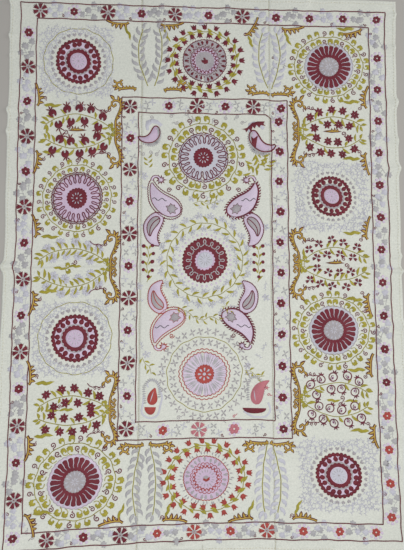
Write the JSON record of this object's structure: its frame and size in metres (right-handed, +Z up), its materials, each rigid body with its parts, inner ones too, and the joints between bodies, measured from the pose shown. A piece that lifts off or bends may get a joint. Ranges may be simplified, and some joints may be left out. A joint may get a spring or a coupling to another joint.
{
  "type": "suzani embroidered textile",
  "caption": "Suzani cover of loom-width cotton strips sewn edge to edge, lying flat, embroidered with rosettes, vines and a floral border.",
  "frame": {"origin": "on the floor under the middle of the cover's box", "axes": "+X across the strips to the right, +Y along the strips to the far end, +Z up from the floor"},
  "size_m": [1.5077, 2.147, 0.0135],
  "materials": {
    "cotton": "undyed ivory cotton, plain weave with slubs, matt with a faint sheen",
    "crimson_silk": "crimson silk floss laid in chain and couched stitches, soft sheen",
    "brick_silk": "brick silk floss laid in chain and couched stitches, soft sheen",
    "rose_silk": "rose silk floss laid in chain and couched stitches, soft sheen",
    "outline_silk": "outline silk floss laid in chain and couched stitches, soft sheen",
    "olive_silk": "olive silk floss laid in chain and couched stitches, soft sheen",
    "gold_silk": "gold silk floss laid in chain and couched stitches, soft sheen",
    "lilac_silk": "lilac silk floss laid in chain and couched stitches, soft sheen",
    "pale_silk": "pale silk floss laid in chain and couched stitches, soft sheen",
    "grey_silk": "grey silk floss laid in chain and couched stitches, soft sheen",
    "dark_silk": "dark silk floss laid in chain and couched stitches, soft sheen"
  },
  "bodies": {
    "root": {"panel_left": "cotton", "panel_centre": "cotton", "panel_right": "cotton"}
  },
  "joints": []
}
